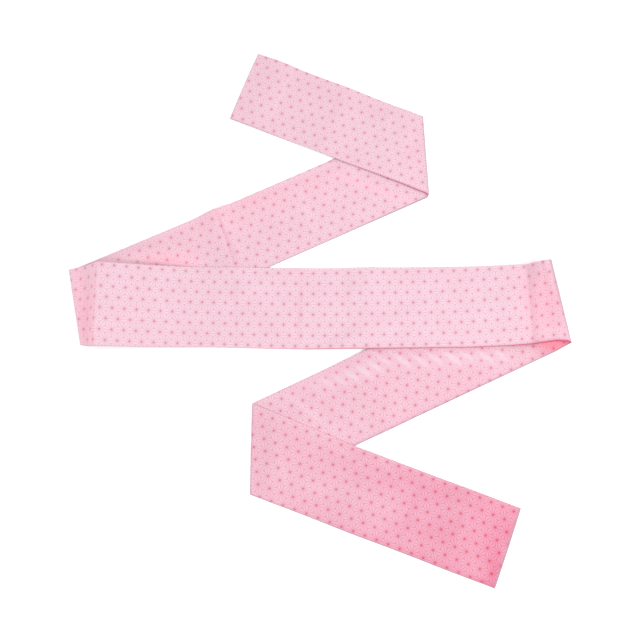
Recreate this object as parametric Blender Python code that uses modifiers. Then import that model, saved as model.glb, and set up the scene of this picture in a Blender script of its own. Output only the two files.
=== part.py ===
"""A half-width obi laid in a zigzag on a flat surface: five stretches of cloth between four folds.

Metres, +Z up. The origin is on the surface, under the middle of the whole obi. Stretches 2 and 4
lie on the surface with their other face up. Stretches 1, 3 and 5 cross over their ends and hold
the turns of the folds.
"""

from collections import namedtuple
from math import ceil

import bmesh
import bpy
from mathutils import Vector

# The cloth: two layers of cotton over a thin core, pressed to one wall.
WALL = 0.0016
SEAM_GAP = 0.0003
LOW_LAYER = WALL / 2
LAYER_STEP = WALL + SEAM_GAP

# The mesh: panels across the cloth, the longest row of panels along it, and rows round a turn.
COLUMNS = 8
ROW_LENGTH = 0.016
TURN_ROWS = 5

# Where an upper stretch passes the edge of a lower one, it keeps its full height for this far
# outside that edge, and then sinks to the surface over the slope.
STEP_MARGIN = 0.026
STEP_SLOPE = 0.030

# A line across the cloth in plan: its end at the cloth's far edge, then at its near edge.
Place = namedtuple("Place", "far_x far_y near_x near_y")
FIRST_END = Place(-0.1347, 0.5893, -0.1938, 0.4374)
FOLD_1 = Place(0.2194, 0.4419, 0.2278, 0.2645)
FOLD_1_UNDER = Place(0.2192, 0.4330, 0.2276, 0.2628)
CREASE_2 = Place(-0.2165, 0.2352, -0.1663, 0.0826)
FOLD_2_UNDER = Place(-0.5160, 0.1030, -0.4785, -0.0480)
FOLD_2 = Place(-0.5164, 0.1035, -0.4842, -0.0531)
RIDGE_3 = Place(-0.4470, 0.1118, -0.4509, -0.0573)
LANDING_3 = Place(-0.2300, 0.1095, -0.2300, -0.0570)
MIDDLE_3 = Place(-0.0300, 0.1082, -0.0280, -0.0611)
LEAVING_3 = Place(0.3000, 0.1122, 0.3000, -0.0572)
CREASE_3 = Place(0.4240, 0.1146, 0.4300, -0.0515)
LOOP_3 = Place(0.4450, 0.1166, 0.4740, -0.0475)
FOLD_3 = Place(0.4696, 0.1190, 0.5050, -0.0498)
FOLD_3_UNDER = Place(0.4715, 0.1165, 0.5060, -0.0520)
FOLD_4_UNDER = Place(-0.1349, -0.1690, -0.1366, -0.3478)
FOLD_4 = Place(-0.1350, -0.1696, -0.1366, -0.3471)
BEND_5 = Place(0.0716, -0.2545, 0.0150, -0.4040)
LAST_END = Place(0.3931, -0.3733, 0.3360, -0.5233)

# The turn of the cloth at a fold. reach is how far back from the fold line the upper layer starts
# to round over, landing how far back the lower layer reaches the surface, and lip where the turn
# ends. rise is the upper layer's height over its rest where it starts to round over, and nose the
# height of the fold line, each at the far and at the near edge.
Turn = namedtuple("Turn", "line under reach landing lip far_rise near_rise far_nose near_nose")
TURN_1 = Turn(FOLD_1, FOLD_1_UNDER, 0.005, 0.005, 0.018, 0.0012, 0.0012, 0.0023, 0.0023)
TURN_2 = Turn(FOLD_2, FOLD_2_UNDER, 0.014, 0.014, 0.030, 0.0100, 0.0080, 0.0065, 0.0060)
TURN_3 = Turn(FOLD_3, FOLD_3_UNDER, 0.014, 0.030, 0.046, 0.0360, 0.0260, 0.0280, 0.0140)
TURN_4 = Turn(FOLD_4, FOLD_4_UNDER, 0.005, 0.005, 0.018, 0.0012, 0.0012, 0.0023, 0.0023)

# A knot along an upper stretch: its rise over the layer below at both edges, and the slope of the
# cloth there, before and after the knot. A knot whose two slopes differ is a crease.
Knot = namedtuple("Knot", "place far_rise near_rise slope_before slope_after")

# A soft wave across a stretch: its place as a share of the stretch's length, the run from its
# crest to its foot, and its height at both edges.
Wave = namedtuple("Wave", "share run far_height near_height")
WAVES = {
    "stretch_1": (Wave(0.13, 0.052, 0.004, 0.002), Wave(0.50, 0.070, 0.002, 0.005)),
    "stretch_2": (Wave(0.58, 0.048, 0.009, 0.003),),
    "stretch_3": (Wave(0.61, 0.060, 0.004, 0.002),),
    "stretch_4": (Wave(0.62, 0.070, 0.003, 0.005),),
    "stretch_5": (Wave(0.45, 0.080, 0.002, 0.005), Wave(0.83, 0.070, 0.005, 0.003)),
}

# The two lines across the cloth that each stretch runs between.
SPANS = {
    "stretch_1": (FIRST_END, FOLD_1),
    "stretch_2": (FOLD_1_UNDER, FOLD_2_UNDER),
    "stretch_3": (FOLD_2, FOLD_3),
    "stretch_4": (FOLD_3_UNDER, FOLD_4_UNDER),
    "stretch_5": (FOLD_4, LAST_END),
}

FACE_PINK = (0.92, 0.60, 0.69, 1.0)
BACK_PINK = (0.90, 0.54, 0.64, 1.0)
CLOTH_ROUGHNESS = 0.85


def mix(first, last, share):
    return first + (last - first) * share


def smooth(share):
    """A ramp from 0 to 1 that starts and ends level."""
    share = min(max(share, 0.0), 1.0)
    return share * share * (3 - 2 * share)


def across(place, side):
    """A point of a line across the cloth: side is 0 at the far edge and 1 at the near edge."""
    far = Vector((place.far_x, place.far_y, 0.0))
    near = Vector((place.near_x, place.near_y, 0.0))
    return far.lerp(near, side)


def moved_along(line, towards, distance):
    """The line across the cloth that lies a distance from another, towards a third."""
    ends = []
    for side in (0.0, 1.0):
        start = across(line, side)
        point = start + (across(towards, side) - start).normalized() * distance
        ends += [point.x, point.y]
    return Place(*ends)


def bezier(start, leave, arrive, end, rows):
    """The points of a Bezier curve after its start, the last of them its end."""
    points = []
    for row in range(1, rows + 1):
        t = row / rows
        s = 1 - t
        points.append(start * s**3 + leave * (3 * s * s * t) + arrive * (3 * s * t * t) + end * t**3)
    return points


def eased(low, high, slope_low, slope_high, t):
    """The height at a share t of the way between two knots, with the climb that each slope gives."""
    from_low = low * (2 * t**3 - 3 * t * t + 1) + slope_low * (t**3 - 2 * t * t + t)
    return from_low + high * (3 * t * t - 2 * t**3) + slope_high * (t**3 - t * t)


def place_in(name, point):
    """Where a point lies on a stretch: its share of the length, of the width, and both sizes."""
    first, last = SPANS[name]
    start = across(first, 0.5)
    length = (across(last, 0.5) - start).length
    along = (across(last, 0.5) - start) / length
    to_near = Vector((along.y, -along.x, 0.0))
    first_across = across(first, 1.0) - across(first, 0.0)
    if to_near.dot(first_across) < 0:
        to_near = -to_near
    width = to_near.dot(first_across)
    offset = point - start
    return offset.dot(along) / length, 0.5 + offset.dot(to_near) / width, length, width


def waves_at(name, point):
    """The height of a stretch's own waves at a point in plan."""
    share, side, length, _ = place_in(name, point)
    height = 0.0
    for wave in WAVES[name]:
        run = abs(share - wave.share) * length / wave.run
        height += mix(wave.far_height, wave.near_height, min(max(side, 0.0), 1.0)) * (1 - smooth(run))
    return height


def step_over(name, point):
    """How far an upper stretch is lifted at a point by the lower stretch of that name."""
    _, side, _, width = place_in(name, point)
    outside = (abs(side - 0.5) - 0.5) * width
    cover = 1 - smooth((outside - STEP_MARGIN) / STEP_SLOPE)
    return cover * (LAYER_STEP + waves_at(name, point))


def turn_path(turn, behind, behind_under, side):
    """The path round a fold, from after the line where it starts to round over to its lip.

    behind is the upper layer's next line, and behind_under the lower layer's.
    """
    fold = across(turn.line, side)
    back = (across(behind, side) - fold).normalized()
    upper = fold + back * turn.reach
    upper.z = LOW_LAYER + LAYER_STEP + mix(turn.far_rise, turn.near_rise, side)
    nose = fold.copy()
    nose.z = mix(turn.far_nose, turn.near_nose, side)
    landing = across(moved_along(turn.under, behind_under, turn.landing), side)
    landing.z = LOW_LAYER
    lip = across(moved_along(turn.under, behind_under, turn.lip), side)
    lip.z = LOW_LAYER
    over = Vector((0, 0, (upper.z - nose.z) * 0.6))
    under = Vector((0, 0, (nose.z - landing.z) * 0.6))
    level = (fold - landing) * 0.6
    level.z = 0
    path = bezier(upper, upper - back * turn.reach * 0.6, nose + over, nose, TURN_ROWS)
    path += bezier(nose, nose - under, landing + level, landing, TURN_ROWS)
    path.append(lip)
    return path


def knot_path(knots, side):
    """The path over the knots of an upper stretch: places in plan, with the rise as its height."""
    path = []
    for first, last in zip(knots, knots[1:]):
        start = across(first.place, side)
        end = across(last.place, side)
        run = (end - start).length
        middle_run = (across(last.place, 0.5) - across(first.place, 0.5)).length
        rows = max(3, ceil(middle_run / ROW_LENGTH))
        low = mix(first.far_rise, first.near_rise, side)
        high = mix(last.far_rise, last.near_rise, side)
        for row in range(1 if path else 0, rows + 1):
            t = row / rows
            point = start.lerp(end, t)
            point.z = eased(low, high, first.slope_after * run, last.slope_before * run, t)
            path.append(point)
    return path


def upper_path(name, knots, lower_names, side):
    """The path along an upper stretch: its layer, the steps over lower stretches, rise and waves."""
    path = knot_path(knots, side)
    for point in path:
        plan = Vector((point.x, point.y, 0.0))
        steps = sum(step_over(lower, plan) for lower in lower_names)
        point.z += LOW_LAYER + steps + waves_at(name, plan)
    return path


def lower_path(name, places, side):
    """The path along a lower stretch, which lies on the surface but for its waves."""
    knots = [Knot(place, 0.0, 0.0, 0.0, 0.0) for place in places]
    return upper_path(name, knots, (), side)


def turn_knot(turn, behind, slope):
    """The knot where an upper stretch starts to round over at a fold."""
    place = moved_along(turn.line, behind, turn.reach)
    return Knot(place, turn.far_rise, turn.near_rise, slope, slope)


def stretch_1_path(side):
    knots = [Knot(FIRST_END, 0.0, 0.0, 0.0, 0.0), turn_knot(TURN_1, FIRST_END, 0.0)]
    path = upper_path("stretch_1", knots, ("stretch_2",), side)
    return path + turn_path(TURN_1, FIRST_END, CREASE_2, side)


def stretch_2_path(side):
    start = moved_along(FOLD_1_UNDER, CREASE_2, TURN_1.lip + SEAM_GAP)
    end = moved_along(FOLD_2_UNDER, CREASE_2, TURN_2.lip + SEAM_GAP)
    return lower_path("stretch_2", (start, CREASE_2, end), side)


def stretch_3_path(side):
    knots = [
        turn_knot(TURN_2, RIDGE_3, 0.25),
        Knot(RIDGE_3, 0.040, 0.029, 0.70, -0.26),
        Knot(LANDING_3, 0.0, 0.0, 0.0, 0.0),
        Knot(MIDDLE_3, 0.0, 0.0, 0.0, 0.0),
        Knot(LEAVING_3, 0.0, 0.0, 0.0, 0.0),
        Knot(CREASE_3, 0.007, 0.006, 0.12, 0.90),
        Knot(LOOP_3, 0.029, 0.024, 0.45, 0.45),
        turn_knot(TURN_3, LOOP_3, 0.10),
    ]
    start = turn_path(TURN_2, RIDGE_3, CREASE_2, side)
    middle = upper_path("stretch_3", knots, ("stretch_2", "stretch_4"), side)
    return start[::-1] + middle + turn_path(TURN_3, LOOP_3, FOLD_4_UNDER, side)


def stretch_4_path(side):
    start = moved_along(FOLD_3_UNDER, FOLD_4_UNDER, TURN_3.lip + SEAM_GAP)
    end = moved_along(FOLD_4_UNDER, FOLD_3_UNDER, TURN_4.lip + SEAM_GAP)
    return lower_path("stretch_4", (start, end), side)


def stretch_5_path(side):
    knots = [
        turn_knot(TURN_4, BEND_5, 0.0),
        Knot(BEND_5, 0.0, 0.0, 0.0, 0.0),
        Knot(LAST_END, 0.0, 0.0, 0.0, 0.0),
    ]
    start = turn_path(TURN_4, BEND_5, FOLD_3_UNDER, side)
    return start[::-1] + upper_path("stretch_5", knots, ("stretch_4",), side)


def cloth_material(name, color):
    material = bpy.data.materials.new(name)
    material.use_nodes = True
    shader = material.node_tree.nodes["Principled BSDF"]
    shader.inputs["Base Color"].default_value = color
    shader.inputs["Roughness"].default_value = CLOTH_ROUGHNESS
    shader.inputs["Metallic"].default_value = 0.0
    return material


def make_stretch(name, path_at, color, collection):
    """One stretch: a grid laid along its paths, thickened to the wall."""
    paths = [path_at(column / COLUMNS) for column in range(COLUMNS + 1)]
    rows = len(paths[0]) - 1
    grid = bmesh.new()
    bmesh.ops.create_grid(grid, x_segments=COLUMNS, y_segments=rows, size=1.0)
    for vert in grid.verts:
        column = round((vert.co.x + 1) / 2 * COLUMNS)
        row = round((vert.co.y + 1) / 2 * rows)
        vert.co = paths[column][row]
    mesh = bpy.data.meshes.new(name)
    grid.to_mesh(mesh)
    grid.free()
    mesh.shade_smooth()
    stretch = bpy.data.objects.new(name, mesh)
    stretch.data.materials.append(cloth_material(name + "_cloth", color))
    wall = stretch.modifiers.new("wall", "SOLIDIFY")
    wall.thickness = WALL
    wall.offset = 0.0
    wall.use_even_offset = True
    wall.use_rim = True
    collection.objects.link(stretch)
    return stretch


def centre_of(stretches):
    """The middle of the stretches in plan."""
    points = [vert.co for stretch in stretches for vert in stretch.data.vertices]
    xs = [point.x for point in points]
    ys = [point.y for point in points]
    return Vector(((min(xs) + max(xs)) / 2, (min(ys) + max(ys)) / 2, 0.0))


def main():
    for old in list(bpy.data.objects):
        bpy.data.objects.remove(old, do_unlink=True)
    collection = bpy.data.collections.new("obi")
    bpy.context.scene.collection.children.link(collection)
    stretches = [
        make_stretch("stretch_1", stretch_1_path, FACE_PINK, collection),
        make_stretch("stretch_2", stretch_2_path, BACK_PINK, collection),
        make_stretch("stretch_3", stretch_3_path, FACE_PINK, collection),
        make_stretch("stretch_4", stretch_4_path, BACK_PINK, collection),
        make_stretch("stretch_5", stretch_5_path, FACE_PINK, collection),
    ]
    frame = bpy.data.objects.new("obi_frame", None)
    collection.objects.link(frame)
    frame.location = -centre_of(stretches)
    for stretch in stretches:
        stretch.parent = frame


main()
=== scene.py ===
"""The looks of an obi laid in a zigzag: one band of printed cotton, cut into its five stretches.

Metres, +Z up; creases and tones are in millimetres. The band is worked out in the laying frame,
whose origin is the point that the camera looks at, and then moved to the frame's own origin,
under the middle of the obi.
"""

from collections import namedtuple
from math import ceil, pi, radians

import bpy
import numpy as np
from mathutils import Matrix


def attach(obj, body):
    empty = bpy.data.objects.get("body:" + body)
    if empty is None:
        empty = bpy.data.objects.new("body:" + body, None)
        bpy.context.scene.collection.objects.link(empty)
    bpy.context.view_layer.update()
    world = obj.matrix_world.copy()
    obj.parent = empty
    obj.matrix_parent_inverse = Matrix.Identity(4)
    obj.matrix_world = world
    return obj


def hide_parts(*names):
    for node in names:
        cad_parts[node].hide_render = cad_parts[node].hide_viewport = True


# The cloth: two layers of cotton over a thin core, pressed to one wall.
WALL = 0.0016
SEAM_GAP = 0.0003
LOW_LAYER = WALL / 2
LAYER_STEP = WALL + SEAM_GAP
BAND_WIDTH = 0.162

# The mesh: the length of a panel along and across the cloth, and the rows round a turn. The edges
# are rounded over, with more panels there, at these distances from the edge.
PANEL = 0.003
TURN_ROWS = 12
EDGE_ROUND = 0.0011
EDGE_STEPS = (0.0, 0.00015, 0.0005, 0.0011, 0.0020)

# Where an upper stretch passes the edge of a lower one, it keeps its full height for this far
# outside that edge, and then sinks to the surface over the slope.
STEP_MARGIN = 0.026
STEP_SLOPE = 0.030

# A line across the cloth in plan: its end at the cloth's far edge, then at its near edge.
Place = namedtuple("Place", "far_x far_y near_x near_y")
FIRST_END = Place(-0.1347, 0.5893, -0.1938, 0.4374)
FOLD_1 = Place(0.2204, 0.4419, 0.2290, 0.2668)
FOLD_1_UNDER = Place(0.2204, 0.4330, 0.2304, 0.2630)
CREASE_2 = Place(-0.2165, 0.2352, -0.1663, 0.0826)
FOLD_2_UNDER = Place(-0.5160, 0.1030, -0.4785, -0.0480)
FOLD_2 = Place(-0.5164, 0.1035, -0.4842, -0.0531)
RIDGE_3 = Place(-0.4470, 0.1118, -0.4509, -0.0573)
LANDING_3 = Place(-0.2300, 0.1095, -0.2300, -0.0570)
MIDDLE_3 = Place(-0.0300, 0.1082, -0.0280, -0.0611)
LEAVING_3 = Place(0.3000, 0.1122, 0.3000, -0.0572)
CREASE_3 = Place(0.4240, 0.1146, 0.4300, -0.0515)
LOOP_3 = Place(0.4450, 0.1166, 0.4740, -0.0475)
FOLD_3 = Place(0.4696, 0.1190, 0.5050, -0.0498)
FOLD_3_UNDER = Place(0.4715, 0.1165, 0.5060, -0.0520)
FOLD_4_UNDER = Place(-0.1349, -0.1690, -0.1366, -0.3478)
FOLD_4 = Place(-0.1350, -0.1696, -0.1366, -0.3471)
BEND_5 = Place(0.0716, -0.2545, 0.0150, -0.4040)
LAST_END = Place(0.3931, -0.3733, 0.3360, -0.5233)

# The turn of the cloth at a fold. reach is how far back from the fold line the upper layer starts
# to round over, landing how far back the lower layer reaches the surface, and lip where the turn
# ends. rise is the upper layer's height over its rest where it starts to round over, and nose the
# height of the fold line, each at the far and at the near edge.
Turn = namedtuple("Turn", "line under reach landing lip far_rise near_rise far_nose near_nose")
TURN_1 = Turn(FOLD_1, FOLD_1_UNDER, 0.005, 0.005, 0.018, 0.0012, 0.0012, 0.0023, 0.0023)
TURN_2 = Turn(FOLD_2, FOLD_2_UNDER, 0.014, 0.014, 0.030, 0.0100, 0.0080, 0.0065, 0.0060)
TURN_3 = Turn(FOLD_3, FOLD_3_UNDER, 0.014, 0.030, 0.046, 0.0360, 0.0260, 0.0280, 0.0140)
TURN_4 = Turn(FOLD_4, FOLD_4_UNDER, 0.005, 0.005, 0.018, 0.0012, 0.0012, 0.0023, 0.0023)

# How full the curves of a turn are, and the fewest rows between two knots.
FULLNESS = 0.6
LEAST_ROWS = 3

# A knot along an upper stretch: its rise over the layer below at both edges, and the slope of the
# cloth there, before and after the knot. A knot whose two slopes differ is a crease, and one with
# a place alone rests on the layer below.
Knot = namedtuple(
    "Knot", "place far_rise near_rise slope_before slope_after", defaults=(0.0, 0.0, 0.0, 0.0)
)

# The knots of stretch 3 between its two turns, and its slope where it rounds over into each.
KNOTS_3 = (
    Knot(RIDGE_3, 0.040, 0.029, 0.70, -0.26),
    Knot(LANDING_3),
    Knot(MIDDLE_3),
    Knot(LEAVING_3),
    Knot(CREASE_3, 0.007, 0.006, 0.12, 0.90),
    Knot(LOOP_3, 0.029, 0.024, 0.45, 0.45),
)
RIDGE_SLOPE = 0.25
LOOP_SLOPE = 0.10

# A soft wave across a stretch: its place as a share of the stretch's length, the run from its
# crest to its foot, and its height at both edges.
Wave = namedtuple("Wave", "share run far_height near_height")
WAVES = {
    "stretch_1": (Wave(0.13, 0.052, 0.004, 0.002), Wave(0.50, 0.070, 0.002, 0.005)),
    "stretch_2": (Wave(0.58, 0.048, 0.009, 0.003),),
    "stretch_3": (Wave(0.61, 0.060, 0.004, 0.002),),
    "stretch_4": (Wave(0.62, 0.070, 0.003, 0.005),),
    "stretch_5": (Wave(0.45, 0.080, 0.002, 0.005), Wave(0.83, 0.070, 0.005, 0.003)),
}

# The two lines across the cloth that each stretch runs between.
SPANS = {
    "stretch_1": (FIRST_END, FOLD_1),
    "stretch_2": (FOLD_1_UNDER, FOLD_2_UNDER),
    "stretch_3": (FOLD_2, FOLD_3),
    "stretch_4": (FOLD_3_UNDER, FOLD_4_UNDER),
    "stretch_5": (FOLD_4, LAST_END),
}
STRETCHES = tuple(SPANS)

# The crown of each stretch: how far the cloth's middle stands over its two edges. It fades out
# over this length before a fold.
CROWNS = {
    "stretch_1": 0.0022,
    "stretch_2": 0.0026,
    "stretch_3": 0.0012,
    "stretch_4": 0.0022,
    "stretch_5": 0.0026,
}
CROWN_POWER = 2.5
FOLD_FADE = 0.040

# The crown is higher and lower by turns, by this share of it, and over this length.
CROWN_SWAY = 0.22
CROWN_SWAY_RUN = 0.31
CROWN_SWAY_START = 0.7

# Past the edges the lie of a stretch fades out, at these shares of the width from its middle.
LIE_REACH = 0.62
LIE_FADE = 0.1

# Creases and tones are given in millimetres.
MILLIMETRES = 1000

# A crease in the cloth: a line in plan from one end to the other, the distance from its middle to
# its foot, and its height, below zero where it is a trough.
Crease = namedtuple("Crease", "x1 y1 x2 y2 foot height")
CREASES = {
    "stretch_1": (
        Crease(-60, 560, -118, 412, 9, 0.5),
        Crease(46, 508, 10, 408, 12, -0.6),
        Crease(152, 458, 138, 372, 8, 0.5),
        Crease(-150, 520, -60, 476, 10, 0.4),
        Crease(85, 392, 160, 352, 7, 0.5),
    ),
    "stretch_2": (
        Crease(-217, 234, -167, 84, 4.2, -1.5),
        Crease(-212, 236, -190, 170, 8, 1),
        Crease(-228, 158, -175, 114, 5, 0.6),
        Crease(-250, 150, -196, 106, 5, 0.7),
        Crease(-272, 140, -236, 110, 4.5, 0.6),
        Crease(-330, 178, -286, 130, 6, 0.6),
        Crease(-372, 160, -330, 118, 6, 0.5),
        Crease(60, 345, 92, 256, 10, 0.6),
        Crease(-55, 300, -10, 185, 12, 0.6),
        Crease(-150, 262, -80, 180, 9, -0.5),
    ),
    "stretch_3": (
        Crease(-40, 105, -46, -56, 10, -0.9),
        Crease(-180, 104, -172, -52, 9, -0.5),
        Crease(75, 105, 66, 5, 8, 0.5),
        Crease(215, 108, 232, -50, 11, 0.6),
        Crease(340, 108, 332, 20, 8, -0.5),
        Crease(-330, 60, -300, -50, 9, 0.6),
        Crease(-120, 40, 10, 22, 8, 0.4),
        Crease(150, -20, 290, -36, 8, 0.5),
    ),
    "stretch_4": (
        Crease(352, -62, 378, -82, 8, 1.3),
        Crease(316, -62, 350, -88, 8.5, 1.6),
        Crease(280, -62, 306, -81, 7.5, 1.3),
        Crease(244, -61, 284, -91, 8.5, 1.7),
        Crease(208, -61, 244, -88, 8, 1.5),
        Crease(172, -61, 214, -93, 8.5, 1.7),
        Crease(136, -61, 186, -99, 9, 1.9),
        Crease(101, -62, 141, -92, 8, 1.6),
        Crease(92, -82, 128, -109, 8, 1.6),
        Crease(71, -93, 107, -120, 8.5, 1.5),
        Crease(50, -104, 80, -127, 7.5, 1.2),
        Crease(28, -115, 52, -133, 7.5, 1.2),
        Crease(4, -120, 30, -141, 7.5, 1.1),
        Crease(-18, -130, 6, -150, 7, 0.8),
        Crease(-70, -150, 0, -200, 12, 1),
        Crease(30, -170, 90, -220, 9, 0.6),
    ),
    "stretch_5": (
        Crease(-100, -200, -70, -330, 10, 0.6),
        Crease(20, -250, 110, -310, 11, 1),
        Crease(120, -280, 170, -340, 10, 0.8),
        Crease(200, -320, 150, -440, 13, -0.7),
        Crease(300, -350, 250, -470, 10, 0.6),
        Crease(60, -360, 130, -410, 8, 0.5),
        Crease(330, -400, 365, -480, 8, 0.5),
    ),
}

# At its two ends a crease or a tone has this share of the strength of its middle.
END_SHARE = 0.35

# A tone: a soft-edged mark on the cloth along a line in plan, in millimetres, with its strength.
# TONES is where the pink is deeper, or paler where it is below zero: partly uneven dye, and partly
# painted shade on the flaps by the folds, along creases and at the edges, or painted light where it
# lifts a spot in shade. The next table is painted light that makes the cloth redder where it lies in
# shade, and the last is where the print is worn thin, on the wrinkle crests also a painted highlight.
Tone = namedtuple("Tone", "x1 y1 x2 y2 foot height")
# Partly uneven dye, partly painted shade on flaps, creases and edges; the paler marks are painted
# light.
TONES = {
    "stretch_1": (
        Tone(-126, 553, 216, 417, 33, 0.12),
        Tone(-172, 451, -151, 530, 25, 0.05),
        Tone(200, 400, 205, 300, 45, 0.2),
    ),
    "stretch_2": (
        Tone(-520, 110, -250, 218, 12, -0.4),
        Tone(-240, 228, 60, 350, 8, -0.3),
        Tone(-220, 226, 32, 330, 29, 0.16),
        Tone(-216, 230, -169, 119, 8, 0.42),
        Tone(-400, 145, -219, 207, 25, 0.05),
        Tone(-470, 118, -350, 124, 34, -0.75),
        Tone(-174, 121, -42, 185, 21, 0.06),
        Tone(-400, 118, -124, 102, 4, -0.3),
    ),
    "stretch_3": (
        Tone(-475, 83, -462, -46, 20, 0.3),
        Tone(-504, 83, -479, -42, 20, 0.1),
        Tone(420, 108, 438, -40, 26, 0.26),
        Tone(458, 106, 474, -38, 28, 0.48),
        Tone(484, 104, 500, -34, 28, 0.95),
        Tone(-41, 100, -41, -52, 12, 0.06),
        Tone(-140, 108, 460, 116, 9, -0.3),
        Tone(425, -46, 512, -47, 8, 0.9),
        Tone(103, 72, 123, 41, 82, -0.05),
    ),
    "stretch_4": (
        Tone(445, -62, 502, -54, 22, 0.45),
        Tone(83, -242, 444, -87, 18, 0.22),
        Tone(440, -80, 500, -60, 24, 0.3),
        Tone(-130, -170, -60, -160, 37, -0.2),
        Tone(-30, -196, 60, -232, 28, -0.18),
        Tone(83, -68, 476, -54, 12, 0.22),
        Tone(20, -111, 161, -91, 25, -0.02),
        Tone(161, -91, 364, -74, 21, -0.02),
        Tone(-130, -168, 70, -252, 3, -0.4),
    ),
    "stretch_5": (
        Tone(80, -258, 390, -372, 8, -0.25),
        Tone(0, -271, 351, -376, 33, 0.22),
        Tone(-39, -386, 335, -521, 24, 0.36),
        Tone(355, -386, 326, -512, 45, 0.42),
        Tone(280, -508, 334, -522, 16, 0.7),
        Tone(345, -470, 330, -520, 26, 0.45),
        Tone(180, -400, 300, -440, 70, 0.18),
        Tone(384, -388, 370, -440, 22, 0.3),
        Tone(-122, -300, 214, -395, 33, -0.15),
        Tone(-130, -178, 70, -260, 18, -0.24),
        Tone(-130, -170, 70, -254, 3, -0.4),
    ),
}
# Painted light: the cloth made redder where it lies in shade.
PAINTED_LIGHTS = {
    "stretch_2": (
        Tone(-480, 108, -270, 118, 42, 1.5),
        Tone(-430, 180, 100, 330, 110, 0.3),
        Tone(28, 312, 202, 246, 10, 0.95),
        Tone(-480, 106, -380, 110, 12, 0.9),
        Tone(-480, 60, -460, -30, 30, 0.5),
    ),
    "stretch_3": (
        Tone(-500, 150, -464, -90, 30, 0.8),
        Tone(-458, 160, -456, -80, 16, 0.7),
        Tone(438, 112, 454, -48, 36, 0.8),
        Tone(408, 112, 424, -48, 26, 0.35),
    ),
    "stretch_4": (
        Tone(430, -55, 506, -52, 24, 0.9),
        Tone(-130, -168, 70, -252, 3, 0.7),
    ),
    "stretch_5": (Tone(-130, -170, 70, -254, 5, 0.9),),
}
# Worn print, which on the wrinkle crests is also a painted highlight.
WEAR_AND_HIGHLIGHT = {
    "stretch_4": (
        Tone(-50, -136, 161, -88, 28, 1.0),
        Tone(161, -91, 390, -74, 26, 1.0),
    ),
}

# How deep the pink is over each stretch, at its first and its last line.
PINK_DEPTH = {
    "stretch_1": (0.20, 0.14),
    "stretch_2": (0.18, 0.30),
    "stretch_3": (0.10, 0.08),
    "stretch_4": (0.49, 0.54),
    "stretch_5": (0.74, 1.48),
}

# A painted shade line along each edge, for the thin shadow by the edge and its side in shade, darker
# where the edge stands up: its depth at the far edge, and at the near edge at these shares of each
# stretch's length. Where it is below zero it is grey. The deeper it is, the wider.
EDGE_SHADE_SHARES = (0.0, 0.25, 0.50, 0.75, 0.90, 1.0)
Seam = namedtuple("Seam", "far near")
EDGE_SHADES = {
    "stretch_1": Seam(-0.22, (-0.75, -0.58, 0.15, 0.62, 0.95, 1.15)),
    "stretch_2": Seam(-0.18, (-1.50, -0.85, -0.68, -0.90, -0.80, -0.80)),
    "stretch_3": Seam(0.00, (-0.75, -0.25, 0.90, 0.92, 1.00, 2.60)),
    "stretch_4": Seam(-0.10, (-1.00, -1.10, -1.15, -1.00, -0.90, -0.90)),
    "stretch_5": Seam(-0.08, (-0.80, -0.85, -0.95, -1.00, -1.05, -1.10)),
}
EDGE_SHADE_LINE = 0.0011
ROSE_SPREAD = 0.5
GREY_SPREAD = 0.9

# A painted grey shade line across the cloth at its first end, each fold in turn and its last end,
# where the edge rounds away from the light, and how far past the line it lies. On the high third
# fold it lies before it, on the upper layer.
Grey = namedtuple("Grey", "depth reach past")
GREY_SHADES = (
    Grey(0.33, 0.0020, 0.0),
    Grey(0.80, 0.0030, 0.0),
    Grey(0.15, 0.0020, 0.0),
    Grey(0.80, 0.0045, -0.010),
    Grey(0.50, 0.0020, 0.0),
    Grey(1.00, 0.0036, 0.0),
)

# The rosy light inside the loop of the third fold, on the side of the cloth that faces into it.
LOOP_SHADES = (
    Tone(446, -50, 506, -50, 13, 0.95),
    Tone(480, 30, 500, -30, 30, 0.6),
)

# The crest of a crease is painted paler, a painted highlight, and a trough deeper, a painted shade,
# by this much for each millimetre of its height.
CREASE_SHADING = 0.20

# Where the print is worn, it is worn most on the crests, and its dots less than its lines. On the
# crests the paler cloth is also a painted highlight.
TROUGH_WEAR = 0.35
CREST_WEAR_AND_HIGHLIGHT = 0.60
DOT_WEAR = 0.75
WEAR_AND_HIGHLIGHT_TINT = (0.965, 1.05, 1.03)

# The puckers of the hidden stitches along the cloth's far edge. They drift off their even pitch.
PUCKER_PITCH = 0.0085
PUCKER_REACH = 0.006
PUCKER_HEIGHT = 0.00016
PUCKER_DRIFT = 1.3
PUCKER_DRIFT_RUN = 0.23

# The hemp-leaf print: the distance between two stars, the distance between two rows of them as a
# share of that, and the width of a line. On each stretch, a star lies at this point of the cloth
# and the rows turn by this angle. The cloth is a little off its grain: rows lean and are drawn out
# by these shares, and bow and slide by these lengths. The print is measured from the share origin
# of the stretch's length, and from the share flap on it is closer together by the share squeeze.
STAR_PITCH = 0.02405
ROW_PITCH = 3**0.5 / 2
PRINT_LINE = 0.00080
PRINT_FIELDS = "along across turn lean scale_x scale_y bow slide origin flap squeeze"
Print = namedtuple("Print", PRINT_FIELDS, defaults=(1.0, 0.0))
PRINTS = {
    "stretch_1": Print(0.1614, 0.0870, -1.4, -0.043, 1.002, 0.978, 0.0031, 0.0006, 0.50),
    "stretch_2": Print(0.3692, 0.0652, -0.5, 0.020, 1.004, 0.968, -0.0045, 0.0081, 0.35),
    "stretch_3": Print(0.3806, 0.0693, 0.0, -0.017, 1.000, 1.007, 0.0074, -0.0055, 0.60, 0.912, 0.17),
    "stretch_4": Print(0.4390, 0.0774, 0.9, 0.069, 0.983, 0.995, 0.0030, 0.0003, 0.50),
    "stretch_5": Print(0.1840, 0.0946, -0.2, -0.038, 0.997, 0.981, -0.0050, 0.0013, 0.50),
}

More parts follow.
